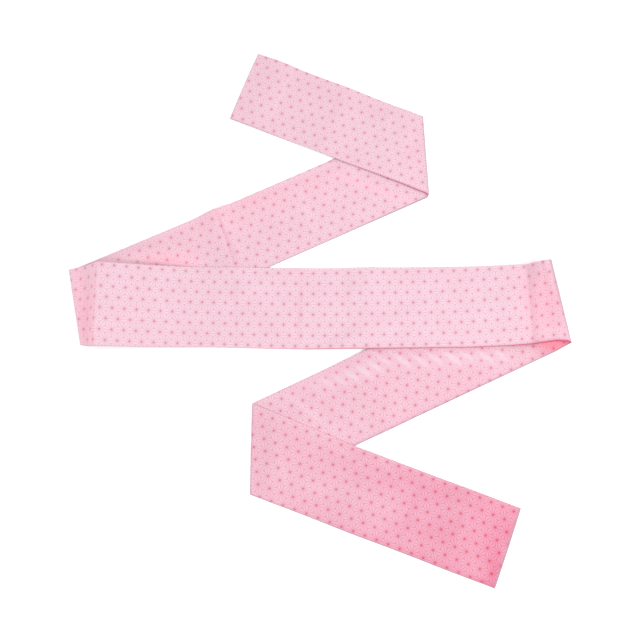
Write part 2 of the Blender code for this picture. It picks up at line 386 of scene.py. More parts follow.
# A line's ink is full to the first and gone at the second share of its half width. The line
# wavers by a small part of the star pitch. A noise has its scale in a star pitch, and its detail.
LINE_EDGE = (0.7, 1.4)
WAVER = 0.012
WAVER_NOISE = (9.0, 2.0)

# The cloth's grit breaks the ink up: the range of its noise, and of the ink that it leaves.
GRIT_NOISE = (21.0, 1.0)
GRIT_RANGE = (0.32, 0.60)
INK_RANGE = (0.40, 0.84)

# The ink fills each star's middle to this distance, with a soft edge between these shares of it,
# and colours the cloth round it a little.
STAR_DOT = 0.0017
DOT_EDGE = (0.75, 1.25)
DOT_INK = 0.9
STAR_HALO = 0.0056
HALO_DEPTH = 0.30

# Display colours of the print where the dye is pale, and where it is deepest.
PALE_GROUND = (0.613, 0.441, 0.506)
PALE_INK = (0.395, 0.205, 0.258)
DEEP_GROUND = (0.580, 0.320, 0.394)
DEEP_INK = (0.390, 0.128, 0.178)

# The two colours of the painted shade lines along the edges, and the tint of the light inside the
# loop.
EDGE_SHADE_ROSE = (0.420, 0.090, 0.150)
EDGE_SHADE_GREY = (0.330, 0.235, 0.270)
LOOP_TINT = (1.60, 0.92, 0.93)

# Round a star the cloth is rosier, and where three lines meet it is greyer, from and to these
# distances from the nearest star, in star pitches.
HALO_RANGE = (0.08, 0.36)
HALO_TINT = (1.045, 1.0, 1.0)
MEETING_RANGE = (0.45, 0.577)
MEETING_TINT = (0.91, 0.95, 0.965)

# Painted light: where the cloth stands up or lies in shade, it is made redder by this.
PAINTED_LIGHT_TINT = (1.20, 1.0, 1.03)

# The dye goes deeper than its deep colours by up to this share, and is patchy by this much.
DEEPEST = 2.3
PATCHES = 0.35
PATCH_NOISE = (0.55, 3.0)

# The weave: the distance between two threads, the relief that they give, and the uneven tone of
# the threads, whose long streaks run both ways.
THREAD_PITCH = 0.00045
WEAVE_RELIEF = 0.00012
WEAVE_STRENGTH = 0.35
STREAKS = ((1.2, 38.0, 1.0), (38.0, 1.2, 1.0))
STREAK_NOISE = (1.0, 2.0)
STREAK_RANGE = (0.5, 1.5)
THREAD_TONES = (0.965, 1.035)

# How cotton takes the light.
COTTON = {
    "Roughness": 0.86,
    "Specular IOR Level": 0.25,
    "Sheen Weight": 0.12,
    "Sheen Roughness": 0.5,
}

# The camera, fitted to the photo: its place over the point that it looks at.
CAMERA_BACK = 0.2303
CAMERA_HEIGHT = 1.3971
CAMERA_LENS = 38.9575
SENSOR = 36.0
CLIP_START = 0.01

# The studio: even light from all round, a soft key light from the right, and a white floor.
ROUND_TINT = (1.0, 0.975, 0.98, 1.0)
ROUND_LIGHT = 1.38
KEY_PLACE = (2.3, -1.3, 1.9)
KEY_SIZE = 1.2
KEY_POWER = 42.0
FLOOR_SIZE = 12.0
FLOOR_COLOUR = (0.95, 0.95, 0.95, 1.0)
FLOOR_ROUGHNESS = 0.9


def mix(first, last, share):
    return first + (last - first) * share


def smooth(share):
    """A ramp from 0 to 1 that starts and ends level."""
    share = np.clip(share, 0.0, 1.0)
    return share * share * (3 - 2 * share)


def raised(points, height):
    """The points with this much added to their height."""
    lifted = points.copy()
    lifted[..., 2] += height
    return lifted


def across(place, side):
    """Points of a line across the cloth: side is 0 at the far edge and 1 at the near edge."""
    far = np.array((place.far_x, place.far_y, 0.0))
    near = np.array((place.near_x, place.near_y, 0.0))
    return far + (near - far) * np.atleast_1d(side)[:, None]


def moved_along(line, towards, distance):
    """The line across the cloth that lies a distance from another, towards a third."""
    ends = np.array((0.0, 1.0))
    start = across(line, ends)
    way = across(towards, ends) - start
    moved = start + way / np.linalg.norm(way, axis=1)[:, None] * distance
    return Place(moved[0, 0], moved[0, 1], moved[1, 0], moved[1, 1])


def bezier(start, leave, arrive, end, rows):
    """The rows of a Bezier curve after its start, the last of them its end."""
    made = []
    for row in range(1, rows + 1):
        t = row / rows
        s = 1 - t
        made.append(start * s**3 + leave * (3 * s * s * t) + arrive * (3 * s * t * t) + end * t**3)
    return made


def eased(low, high, slope_low, slope_high, t):
    """The height at a share t of the way between two knots, with the climb that each slope gives."""
    from_low = low * (2 * t**3 - 3 * t * t + 1) + slope_low * (t**3 - 2 * t * t + t)
    return from_low + high * (3 * t * t - 2 * t**3) + slope_high * (t**3 - t * t)


def middle_of(place):
    return across(place, 0.5)[0]


def place_in(name, points):
    """Where points lie on a stretch: the share of its length, of its width, and both sizes."""
    first, last = SPANS[name]
    start = middle_of(first)
    length = np.linalg.norm(middle_of(last) - start)
    along = (middle_of(last) - start) / length
    to_near = np.array((along[1], -along[0], 0.0))
    first_across = across(first, 1.0)[0] - across(first, 0.0)[0]
    if to_near @ first_across < 0:
        to_near = -to_near
    width = to_near @ first_across
    offset = points * (1.0, 1.0, 0.0) - start
    return offset @ along / length, 0.5 + offset @ to_near / width, length, width


def mark_height(mark, points):
    """The strength of a crease or tone at points in plan: soft, and running out at both ends."""
    start = np.array((mark.x1, mark.y1))
    way = np.array((mark.x2, mark.y2)) - start
    length = np.linalg.norm(way)
    offset = points[..., :2] * MILLIMETRES - start
    run = offset @ way / length
    beyond = np.maximum(np.maximum(-run, run - length), 0.0)
    inside = np.clip(run, 0.0, length) / length
    aside = np.abs(offset @ np.array((way[1], -way[0])) / length)
    swell = mix(END_SHARE, 1.0, np.sin(pi * inside))
    return mark.height * swell * (1 - smooth(np.hypot(aside, beyond) / mark.foot))


def marked(marks, points):
    """The strength of several marks together at points in plan."""
    return sum(mark_height(mark, points) for mark in marks)


# The lines in plan where each stretch ends and a turn starts: an upper stretch rounds over there,
# and a lower one comes out of the turn's lip.
TURN_STARTS = {
    "stretch_1": (moved_along(FOLD_1, FIRST_END, TURN_1.reach),),
    "stretch_2": (
        moved_along(FOLD_1_UNDER, CREASE_2, TURN_1.lip),
        moved_along(FOLD_2_UNDER, CREASE_2, TURN_2.lip),
    ),
    "stretch_3": (
        moved_along(FOLD_2, RIDGE_3, TURN_2.reach),
        moved_along(FOLD_3, LOOP_3, TURN_3.reach),
    ),
    "stretch_4": (
        moved_along(FOLD_3_UNDER, FOLD_4_UNDER, TURN_3.lip),
        moved_along(FOLD_4_UNDER, FOLD_3_UNDER, TURN_4.lip),
    ),
    "stretch_5": (moved_along(FOLD_4, BEND_5, TURN_4.reach),),
}


def turn_distance(name, points):
    """How far points in plan are from the lines where the stretch's turns start, on its own side."""
    middle = sum(middle_of(line) for line in SPANS[name]) / 2
    distances = []
    for line in TURN_STARTS[name]:
        start, end = across(line, (0.0, 1.0))
        way = (end - start) / np.linalg.norm(end - start)
        inwards = np.array((way[1], -way[0], 0.0))
        inwards *= np.sign((middle - start) @ inwards)
        distances.append((points - start) @ inwards)
    return np.maximum(np.min(distances, axis=0), 0.0)


def lie_height(name, points):
    """How far a stretch stands over its rest at points in plan: its waves, crown and creases."""
    share, side, length, _ = place_in(name, points)
    edge = np.clip(side, 0.0, 1.0)
    height = np.zeros(points.shape[:-1])
    for wave in WAVES[name]:
        run = np.abs(share - wave.share) * length / wave.run
        height += mix(wave.far_height, wave.near_height, edge) * (1 - smooth(run))
    crown = CROWNS[name] * (1 - np.abs(2 * edge - 1) ** CROWN_POWER)
    sway = np.sin(share * length * 2 * pi / CROWN_SWAY_RUN + CROWN_SWAY_START)
    fine = crown * (1 + CROWN_SWAY * sway) + marked(CREASES[name], points) / MILLIMETRES
    fine *= smooth(turn_distance(name, points) / FOLD_FADE)
    fine *= smooth((LIE_REACH - np.abs(side - 0.5)) / LIE_FADE)
    return np.maximum(height + fine, 0.0)


def step_over(name, points):
    """How far an upper stretch is lifted at points by the lower stretch of that name."""
    _, side, _, width = place_in(name, points)
    outside = (np.abs(side - 0.5) - 0.5) * width
    cover = 1 - smooth((outside - STEP_MARGIN) / STEP_SLOPE)
    return cover * (LAYER_STEP + lie_height(name, points))


def turn_path(turn, behind, behind_under, side):
    """The rows round a fold, from after the line where it starts to round over to its lip.

    behind is the upper layer's next line, and behind_under the lower layer's.
    """
    fold = across(turn.line, side)
    back = across(behind, side) - fold
    back /= np.linalg.norm(back, axis=1)[:, None]
    rise = mix(turn.far_rise, turn.near_rise, side)
    upper = raised(fold + back * turn.reach, LOW_LAYER + LAYER_STEP + rise)
    nose = raised(fold, mix(turn.far_nose, turn.near_nose, side))
    landing = raised(across(moved_along(turn.under, behind_under, turn.landing), side), LOW_LAYER)
    lip = raised(across(moved_along(turn.under, behind_under, turn.lip), side), LOW_LAYER)
    over = (upper - nose) * (0.0, 0.0, FULLNESS)
    under = (nose - landing) * (0.0, 0.0, FULLNESS)
    level = (fold - landing) * (FULLNESS, FULLNESS, 0.0)
    path = bezier(upper, upper - back * turn.reach * FULLNESS, nose + over, nose, TURN_ROWS)
    path += bezier(nose, nose - under, landing + level, landing, TURN_ROWS)
    flat_rows = ceil((turn.lip - turn.landing) / PANEL)
    path += [mix(landing, lip, row / flat_rows) for row in range(1, flat_rows + 1)]
    return path


def knot_path(knots, side):
    """The rows over the knots of a stretch: places in plan, with the rise as their height."""
    path = []
    for first, last in zip(knots, knots[1:]):
        start = across(first.place, side)
        end = across(last.place, side)
        run = np.linalg.norm(end - start, axis=1)
        middle_run = np.linalg.norm(middle_of(last.place) - middle_of(first.place))
        rows = max(LEAST_ROWS, ceil(middle_run / PANEL))
        low = mix(first.far_rise, first.near_rise, side)
        high = mix(last.far_rise, last.near_rise, side)
        for row in range(1 if path else 0, rows + 1):
            t = row / rows
            height = eased(low, high, first.slope_after * run, last.slope_before * run, t)
            path.append(raised(mix(start, end, t), height))
    return path


def laid_path(name, knots, lower_names, side):
    """The rows along a stretch: its layer, the steps over lower stretches, rise and lie."""
    path = []
    for row in knot_path(knots, side):
        steps = sum(step_over(lower, row) for lower in lower_names)
        path.append(raised(row, LOW_LAYER + steps + lie_height(name, row)))
    return path


def turn_knot(turn, behind, slope):
    """The knot where an upper stretch starts to round over at a fold."""
    place = moved_along(turn.line, behind, turn.reach)
    return Knot(place, turn.far_rise, turn.near_rise, slope, slope)


def stretch_1_path(side):
    knots = [Knot(FIRST_END), turn_knot(TURN_1, FIRST_END, 0.0)]
    path = laid_path("stretch_1", knots, ("stretch_2",), side)
    return path + turn_path(TURN_1, FIRST_END, CREASE_2, side)


def stretch_2_path(side):
    start, end = TURN_STARTS["stretch_2"]
    return laid_path("stretch_2", [Knot(start), Knot(CREASE_2), Knot(end)], (), side)


def stretch_3_path(side):
    first = turn_knot(TURN_2, RIDGE_3, RIDGE_SLOPE)
    knots = [first, *KNOTS_3, turn_knot(TURN_3, LOOP_3, LOOP_SLOPE)]
    start = turn_path(TURN_2, RIDGE_3, CREASE_2, side)
    middle = laid_path("stretch_3", knots, ("stretch_2", "stretch_4"), side)
    return start[::-1] + middle + turn_path(TURN_3, LOOP_3, FOLD_4_UNDER, side)


def stretch_4_path(side):
    start, end = TURN_STARTS["stretch_4"]
    return laid_path("stretch_4", [Knot(start), Knot(end)], (), side)


def stretch_5_path(side):
    knots = [turn_knot(TURN_4, BEND_5, 0.0), Knot(BEND_5), Knot(LAST_END)]
    start = turn_path(TURN_4, BEND_5, FOLD_3_UNDER, side)
    return start[::-1] + laid_path("stretch_5", knots, ("stretch_4",), side)


PATHS = (stretch_1_path, stretch_2_path, stretch_3_path, stretch_4_path, stretch_5_path)


def edge_sides():
    """The places of the mesh lines across the cloth, closer together at both edges."""
    steps = np.array(EDGE_STEPS) / BAND_WIDTH
    middle_count = ceil((BAND_WIDTH - 2 * EDGE_STEPS[-1]) / PANEL)
    middle = np.linspace(steps[-1], 1 - steps[-1], middle_count + 1)
    return np.concatenate([steps[:-1], middle, 1 - steps[:-1][::-1]])


def end_rows(first, second):
    """The rows closer together at a free end, from the end itself to the second row."""
    run = np.linalg.norm(second - first, axis=1).mean()
    return [mix(first, second, step / run) for step in EDGE_STEPS]


def band_rows(side):
    """The whole band as rows of points, and the row that each stretch starts and ends at."""
    rows = []
    limits = {}
    for name, stretch_path in zip(STRETCHES, PATHS):
        path = stretch_path(side)
        if name == STRETCHES[0]:
            path = end_rows(path[0], path[1]) + path[1:]
        if name == STRETCHES[-1]:
            path = path[:-1] + end_rows(path[-1], path[-2])[::-1]
        if rows:
            path = path[1:]
        start = len(rows) - 1 if rows else 0
        rows += path
        limits[name] = (start, len(rows) - 1)
    return np.array(rows), limits


def arc_lengths(grid):
    """The length along the cloth from its first end, at each point of the grid."""
    steps = np.linalg.norm(np.diff(grid, axis=0), axis=2)
    return np.concatenate([np.zeros((1, grid.shape[1])), np.cumsum(steps, axis=0)])


def grid_normals(grid):
    """The cloth's normals at each point, on the side that faces up at the first end."""
    along = np.gradient(grid, axis=0)
    to_near = np.gradient(grid, axis=1)
    normals = np.cross(to_near, along)
    return normals / np.linalg.norm(normals, axis=2)[..., None]


def half_walls(grid, side, arcs):
    """Half the wall at each point, rounded over to nothing at the edges and the free ends."""
    from_edge = (0.5 - np.abs(side - 0.5)) * BAND_WIDTH
    edge = np.broadcast_to(from_edge, grid.shape[:2])
    end = np.minimum(arcs, arcs[-1] - arcs)
    inset = np.clip(1 - np.minimum(edge, end) / EDGE_ROUND, 0.0, 1.0)
    return WALL / 2 * np.sqrt(1 - inset**2)


def puckers(side, arcs):
    """The small ripple that the hidden stitches give the far edge."""
    reach = np.exp(-side * BAND_WIDTH / PUCKER_REACH)
    drift = PUCKER_DRIFT * np.sin(arcs * 2 * pi / PUCKER_DRIFT_RUN)
    fade = np.clip(side * BAND_WIDTH / EDGE_ROUND, 0.0, 1.0)
    return PUCKER_HEIGHT * reach * fade * np.sin(arcs * 2 * pi / PUCKER_PITCH + drift)


def print_places(name, grid, limits, side, arcs):
    """The print's coordinates in star pitches, as the stretch shows it, over the whole band."""
    start, end = limits[name]
    middle = len(side) // 2
    share, _, length, _ = place_in(name, grid[start : end + 1])
    made = PRINTS[name]
    row = start + np.argmin(np.abs(share[:, middle] - made.origin))
    along = place_in(name, grid[row])[0] * length + arcs - arcs[row]
    bend = 1 - (2 * along / length - 1) ** 2
    beyond = np.maximum(along - made.flap * length, 0)
    offset_x = along + made.squeeze * beyond - made.along - made.slide * (bend - 0.5)
    offset_y = side * BAND_WIDTH - made.across - made.bow * (bend - 0.5)
    turn = radians(made.turn)
    x = offset_x * np.cos(turn) + offset_y * np.sin(turn)
    y = offset_y * np.cos(turn) - offset_x * np.sin(turn)
    placed = np.stack([x * made.scale_x - y * made.lean, y * made.scale_y], axis=-1)
    return placed / STAR_PITCH


def nearest_star(offset):
    """The step between two stars of the print that is nearest to this one."""
    row = np.round(offset[1] / ROW_PITCH)
    column = np.round(offset[0] - row / 2)
    return np.array((column + row / 2, row * ROW_PITCH))


def joined_print(first, last, limits, hidden):
    """Two prints of one face made one, over the hidden stretch between the two that show."""
    start, end = limits[hidden]
    middle = (start + end) // 2
    column = first.shape[1] // 2
    last = last - nearest_star(last[middle, column] - first[middle, column])
    rows = np.arange(len(first))
    weight = smooth((rows - start) / (end - start))[:, None, None]
    return mix(first, last, weight), last


def face_prints(grid, limits, side, arcs):
    """The print on the face that shows on stretches 1, 3 and 5, and on the other face."""
    shown = {name: print_places(name, grid, limits, side, arcs) for name in STRETCHES}
    face, last = joined_print(shown["stretch_1"], shown["stretch_3"], limits, "stretch_2")
    later, _ = joined_print(last, shown["stretch_5"], limits, "stretch_4")
    start_4 = limits["stretch_4"][0]
    face[start_4:] = later[start_4:]
    back, _ = joined_print(shown["stretch_2"], shown["stretch_4"], limits, "stretch_3")
    return face, back


def fold_limits(limits):
    """The rows that each stretch's tones cover: from one fold line to the next."""
    nose_1, nose_2, nose_3, nose_4 = (
        TURN_ROWS + ceil((turn.lip - turn.landing) / PANEL)
        for turn in (TURN_1, TURN_2, TURN_3, TURN_4)
    )
    folds = (
        limits["stretch_1"][1] - nose_1,
        limits["stretch_3"][0] + nose_2,
        limits["stretch_3"][1] - nose_3,
        limits["stretch_5"][0] + nose_4,
    )
    starts = (0, *folds)
    ends = (*folds, limits["stretch_5"][1])
    return {name: slice(start, end + 1) for name, start, end in zip(STRETCHES, starts, ends)}


def pink_bases(grid, folds):
    """How deep the pink is at each point, before the tones: deeper towards the last end."""
    depth = np.zeros(grid.shape[:2])
    for name in STRETCHES:
        share = place_in(name, grid[folds[name]])[0]
        depth[folds[name]] = mix(*PINK_DEPTH[name], smooth(share))
    return depth


def marks_over(marks, grid, folds):
    """The strength at each point of the marks on its own stretch."""
    strength = np.zeros(grid.shape[:2])
    for name, own in marks.items():
        strength[folds[name]] = marked(own, grid[folds[name]])
    return strength


def edge_shade_depths(grid, folds, side, arcs):
    """The depth of the painted shade line along the edges at each point, with the painted grey shade
    at the ends and folds.
    """
    edge_shades = np.zeros(grid.shape[:2])
    lines = [0, *(folds[name].start for name in STRETCHES[1:]), -1]
    # Painted grey shade lines across the cloth at its ends and folds.
    for row, grey in zip(lines, GREY_SHADES):
        distance = arcs - arcs[row] - grey.past
        edge_shades -= grey.depth * np.exp(-((distance / grey.reach) ** 2))
    for name in STRETCHES:
        rows = folds[name]
        share = np.clip(place_in(name, grid[rows])[0], 0.0, 1.0)
        edge_shade = EDGE_SHADES[name]
        near = np.interp(share, EDGE_SHADE_SHARES, edge_shade.near)
        spread = np.where(near < 0, GREY_SPREAD, ROSE_SPREAD)
        line = EDGE_SHADE_LINE * (1 + spread * np.abs(near))
        # Painted shade lines along the near and far edges.
        edge_shades[rows] += near * np.exp(-(((1 - side) * BAND_WIDTH / line) ** 2))
        edge_shades[rows] += edge_shade.far * np.exp(-((side * BAND_WIDTH / line) ** 2))
    return edge_shades


# The names of the tints that both faces of the mesh share, in the order of the layers.
TINTS = ("dye_and_shading", "wear_and_highlight", "painted_light", "edge_shade")


def cloth_tints(grid, folds, side, arcs):
    """The layers of those tints, and last the rosy light on the back, inside the loop."""
    crests = marks_over(CREASES, grid, folds)
    # The tones and the crease heights put painted shade and painted highlight into the pink.
    dye_and_shading = pink_bases(grid, folds) + marks_over(TONES, grid, folds) - crests * CREASE_SHADING
    # Worn print, and a painted highlight on the wrinkle crests.
    wear_and_highlight = marks_over(WEAR_AND_HIGHLIGHT, grid, folds) * (TROUGH_WEAR + CREST_WEAR_AND_HIGHLIGHT * crests)
    # Painted light, redder where the cloth lies in shade.
    painted_light = marks_over(PAINTED_LIGHTS, grid, folds)
    loop = np.zeros(grid.shape[:2])
    rows = slice(folds["stretch_4"].start - TURN_ROWS, folds["stretch_4"].stop)
    loop[rows] = marked(LOOP_SHADES, grid[rows])
    return dye_and_shading, wear_and_highlight, painted_light, edge_shade_depths(grid, folds, side, arcs), loop


def band_mesh(name, rows, layers):
    """A closed shell from two grids of points, the face side and the back side.

    Its last quads close the cut ends, and their count comes last.
    """
    face, back, face_print, back_print, *both, loop = (layer[rows] for layer in layers)
    count, columns = face.shape[:2]
    face_index = np.arange(count * columns).reshape(count, columns)
    back_print_index = face_index + count * columns
    back_index = back_print_index.copy()
    back_index[:, 0] = face_index[:, 0]
    back_index[:, -1] = face_index[:, -1]
    cut_rows = [0, -1]
    for stretch, row in ((STRETCHES[0], 0), (STRETCHES[-1], -1)):
        if name == stretch:
            back_index[row] = face_index[row]
            cut_rows.remove(row)
    quads = [grid_quads(face_index), grid_quads(back_index)[:, ::-1]]
    print_quads = [quads[0], grid_quads(back_print_index)[:, ::-1]]
    for row in cut_rows:
        rims = (face_index[row, :-1], back_index[row, :-1], back_index[row, 1:])
        cap = np.stack([*rims, face_index[row, 1:]], axis=1)
        quads.append(cap[:, ::-1] if row else cap)
        print_quads.append(np.repeat(rims[0][:, None], 4, axis=1))
    cut_quads = sum(len(cap) for cap in quads[2:])
    places = np.concatenate([face_print.reshape(-1, 2), back_print.reshape(-1, 2)])
    prints = places[np.concatenate(print_quads)]
    points = np.concatenate([face.reshape(-1, 3), back.reshape(-1, 3)])
    tints = {tint: np.tile(values.ravel(), 2) for tint, values in zip(TINTS, both)}
    tints["loop"] = np.concatenate([loop.ravel() * 0, loop.ravel()])
    return points, np.concatenate(quads), prints, tints, cut_quads


def grid_quads(index):
    """The corners of each panel of a grid of point numbers."""
    corners = (index[:-1, :-1], index[:-1, 1:], index[1:, 1:], index[1:, :-1])
    return np.stack(corners, axis=-1).reshape(-1, 4)


def clean_quads(quads, prints):
    """Panels with two corners on one point become triangles; those with no area go."""
    faces = []
    corners = []
    for quad, place in zip(quads.tolist(), prints.tolist()):
        kept = []
        spots = []
        for index, spot in zip(quad, place):
            if index not in kept:
                kept.append(index)
                spots.append(spot)
        if len(kept) > 2:
            faces.append(kept)
            corners += spots
    return faces, corners


def make_stretch(name, rows, layers, material):
    """One stretch of the band as a mesh object that stands for its solid."""
    points, quads, prints, tints, cut_quads = band_mesh(name, rows, layers)
    faces, corners = clean_quads(quads, prints)
    used = np.zeros(len(points), bool)
    used[[index for face in faces for index in face]] = True
    renumbered = np.cumsum(used) - 1
    faces = [[int(renumbered[index]) for index in face] for face in faces]
    mesh = bpy.data.meshes.new(name + "_cloth")
    mesh.from_pydata(points[used].tolist(), [], faces)
    layer = mesh.uv_layers.new(name="print")
    layer.data.foreach_set("uv", np.array(corners, np.float32).ravel())
    for tint, values in tints.items():
        attribute = mesh.attributes.new(tint, "FLOAT", "POINT")
        attribute.data.foreach_set("value", values[used].astype(np.float32))
    mesh.shade_smooth()
    cut_edges = set()
    for face in faces[-cut_quads:]:
        cut_edges.update(frozenset(pair) for pair in zip(face, face[1:] + face[:1]))
    for edge in mesh.edges:
        edge.use_edge_sharp = frozenset(edge.vertices) in cut_edges
    mesh.materials.append(material)
    piece = bpy.data.objects.new(name + "_cloth", mesh)
    bpy.context.scene.collection.objects.link(piece)
    return piece


# The sockets of a Mix node that hold its two colours, and the one that gives the result.
MIX_COLOURS = (6, 7)
MIX_RESULT = 2


class Nodes:
    """A material's nodes, with a short way to add one and to do sums with them."""

    def __init__(self, name):
        self.material = bpy.data.materials.new(name)
        self.material.use_nodes = True
        self.tree = self.material.node_tree
        self.shader = self.tree.nodes["Principled BSDF"]

    def add(self, kind, **settings):
        node = self.tree.nodes.new(kind)
        for key, value in settings.items():
            setattr(node, key, value)
        return node

    def link(self, source, target):
        if hasattr(source, "outputs"):
            source = source.outputs[0]
        if isinstance(source, (int, float)):
            target.default_value = source
        else:
            self.tree.links.new(source, target)

    def sum(self, operation, *values, clamp=False):
        node = self.add("ShaderNodeMath", operation=operation, use_clamp=clamp)
        for value, socket in zip(values, node.inputs):
            self.link(value, socket)
        return node.outputs[0]

    def blend(self, share, first, last, beyond=False):
        """A mix of two colours, given as sockets or as values; its share may go beyond 1."""
        node = self.add("ShaderNodeMix", data_type="RGBA", clamp_factor=not beyond)
        return self.colour_output(node, share, first, last)

    def mapped(self, value, low, high, start, end, ramp="SMOOTHSTEP"):
        """The value carried over from the range low to high to the range start to end."""
        node = self.add("ShaderNodeMapRange", interpolation_type=ramp)
        self.link(value, node.inputs["Value"])
        limits = {"From Min": low, "From Max": high, "To Min": start, "To Max": end}
        for socket, limit in limits.items():
            node.inputs[socket].default_value = limit
        return node.outputs["Result"]

    def noise(self, place, scale, detail):
        """Soft noise in the plane of the print."""
        node = self.add("ShaderNodeTexNoise", noise_dimensions="2D")
        self.link(place, node.inputs["Vector"])
        node.inputs["Scale"].default_value = scale
        node.inputs["Detail"].default_value = detail
        return node.outputs["Fac"]

    def point_value(self, name):
        """What the mesh says at each point under that name."""
        return self.add("ShaderNodeAttribute", attribute_name=name).outputs["Fac"]

    def multiplied(self, share, first, last):
        """The first colour times the second, as far as the share says."""
        node = self.add("ShaderNodeMix", data_type="RGBA", blend_type="MULTIPLY")
        return self.colour_output(node, share, first, last)

    def colour_output(self, node, share, first, last):
        self.link(share, node.inputs["Factor"])
        for value, place in zip((first, last), MIX_COLOURS):
            if isinstance(value, tuple):
                node.inputs[place].default_value = (*value, 1.0)
            else:
                self.link(value, node.inputs[place])
        return node.outputs[MIX_RESULT]


def star_distances(nodes, x, y):
    """The distances to the nearest line and the nearest star of the hemp-leaf print, in pitches.

    Stars lie on a lattice of equal triangles. Lines run along each triangle's sides, and from its
    middle to its corners. The three shares of a point in its triangle give both distances.
    """
    q = nodes.sum("DIVIDE", y, ROW_PITCH)
    p = nodes.sum("SUBTRACT", x, nodes.sum("MULTIPLY", q, 0.5))
    part_p = nodes.sum("FRACT", p)
    part_q = nodes.sum("FRACT", q)
    total = nodes.sum("ADD", part_p, part_q)
    upper = nodes.sum("GREATER_THAN", total, 1.0)
    first = nodes.sum("ABSOLUTE", nodes.sum("SUBTRACT", total, 1.0))
    second = nodes.sum("ABSOLUTE", nodes.sum("SUBTRACT", upper, part_p))
    third = nodes.sum("ABSOLUTE", nodes.sum("SUBTRACT", upper, part_q))
    least = nodes.sum("MINIMUM", first, nodes.sum("MINIMUM", second, third))
    most = nodes.sum("MAXIMUM", first, nodes.sum("MAXIMUM", second, third))
    middle = nodes.sum("SUBTRACT", nodes.sum("SUBTRACT", 1.0, least), most)
    to_side = nodes.sum("MULTIPLY", least, ROW_PITCH)
    to_spoke = nodes.sum("MULTIPLY", nodes.sum("SUBTRACT", middle, least), 0.5)
    to_star = nodes.sum("MULTIPLY", nodes.sum("SUBTRACT", 1.0, most), ROW_PITCH)
    return nodes.sum("MINIMUM", to_side, to_spoke), to_star


def print_ink(nodes, uv, distance, from_star, wear_and_highlight):
    """How much ink lies at each point of the print: its lines, broken by grit, and its dots."""
    waver = nodes.sum("SUBTRACT", nodes.noise(uv, *WAVER_NOISE), 0.5)
    distance = nodes.sum("ADD", distance, nodes.sum("MULTIPLY", waver, WAVER))
    full, gone = (share * PRINT_LINE / STAR_PITCH / 2 for share in LINE_EDGE)
    lines = nodes.mapped(distance, full, gone, 1.0, 0.0)
    grit = nodes.noise(uv, *GRIT_NOISE)
    cover = nodes.mapped(grit, *GRIT_RANGE, *INK_RANGE, ramp="LINEAR")
    lines = nodes.sum("MULTIPLY", lines, nodes.sum("SUBTRACT", cover, wear_and_highlight, clamp=True))
    full, gone = (share * STAR_DOT / STAR_PITCH for share in DOT_EDGE)
    dots = nodes.mapped(from_star, full, gone, DOT_INK, 0.0)
    dot_wear = nodes.sum("MULTIPLY", wear_and_highlight, DOT_WEAR)
    dots = nodes.sum("MULTIPLY", dots, nodes.sum("SUBTRACT", 1.0, dot_wear, clamp=True))
    return nodes.sum("MAXIMUM", lines, dots)


def dye_and_shading_depth(nodes, uv, from_star):
    """The depth of the pink: what the mesh says, which is dye with painted shade and light, soft
    patches, and more round each star.
    """
    patches = nodes.sum("SUBTRACT", nodes.noise(uv, *PATCH_NOISE), 0.5)
    halo_reach = STAR_HALO / STAR_PITCH
    halo = nodes.mapped(from_star, 0.0, halo_reach, HALO_DEPTH, 0.0, ramp="SMOOTHERSTEP")
    dye_and_shading = nodes.sum("ADD", nodes.point_value("dye_and_shading"), nodes.sum("MULTIPLY", patches, PATCHES))
    return nodes.sum("MINIMUM", nodes.sum("ADD", dye_and_shading, halo), DEEPEST)


def cloth_material():
    """Printed cotton: hemp-leaf lines on a pale ground, a fine weave and uneven dye, with painted
    shade and light.
    """
    nodes = Nodes("printed_cotton")
    uv = nodes.add("ShaderNodeUVMap", uv_map="print")
    split = nodes.add("ShaderNodeSeparateXYZ")
    nodes.link(uv, split.inputs[0])
    distance, from_star = star_distances(nodes, split.outputs["X"], split.outputs["Y"])
    wear_and_highlight = nodes.point_value("wear_and_highlight")
    ink = print_ink(nodes, uv, distance, from_star, wear_and_highlight)
    dye_and_shading = dye_and_shading_depth(nodes, uv, from_star)
    # The pink's depth holds painted shade and light as well as dye.
    ground = nodes.blend(dye_and_shading, PALE_GROUND, DEEP_GROUND, beyond=True)
    line = nodes.blend(dye_and_shading, PALE_INK, DEEP_INK, beyond=True)
    colour = nodes.blend(ink, ground, line)
    near_star = nodes.mapped(from_star, *HALO_RANGE, 1.0, 0.0)
    colour = nodes.multiplied(near_star, colour, HALO_TINT)
    meeting = nodes.mapped(from_star, *MEETING_RANGE, 0.0, 1.0)
    colour = nodes.multiplied(meeting, colour, MEETING_TINT)
    # Worn print, paler, and a painted highlight on the wrinkle crests.
    colour = nodes.multiplied(wear_and_highlight, colour, WEAR_AND_HIGHLIGHT_TINT)
    colour = nodes.multiplied(nodes.point_value("loop"), colour, LOOP_TINT)
    # Painted shade lines along the edges and across the ends and folds, rose or grey.
    edge_shade = nodes.point_value("edge_shade")
    colour = nodes.blend(edge_shade, colour, EDGE_SHADE_ROSE)
    grey_edge_shade = nodes.sum("MULTIPLY", edge_shade, -1.0, clamp=True)
    colour = nodes.blend(grey_edge_shade, colour, EDGE_SHADE_GREY)
    weave_height, thread_tone = weave(nodes, uv)
    colour = nodes.multiplied(1.0, colour, thread_tone)
    # Painted light: redder where the cloth lies in shade.
    colour = nodes.multiplied(nodes.point_value("painted_light"), colour, PAINTED_LIGHT_TINT)
    nodes.link(colour, nodes.shader.inputs["Base Color"])
    bump = nodes.add("ShaderNodeBump")
    bump.inputs["Strength"].default_value = WEAVE_STRENGTH
    bump.inputs["Distance"].default_value = WEAVE_RELIEF
    nodes.link(weave_height, bump.inputs["Height"])
    nodes.link(bump, nodes.shader.inputs["Normal"])
    for socket, value in COTTON.items():
        nodes.shader.inputs[socket].default_value = value
    return nodes.material


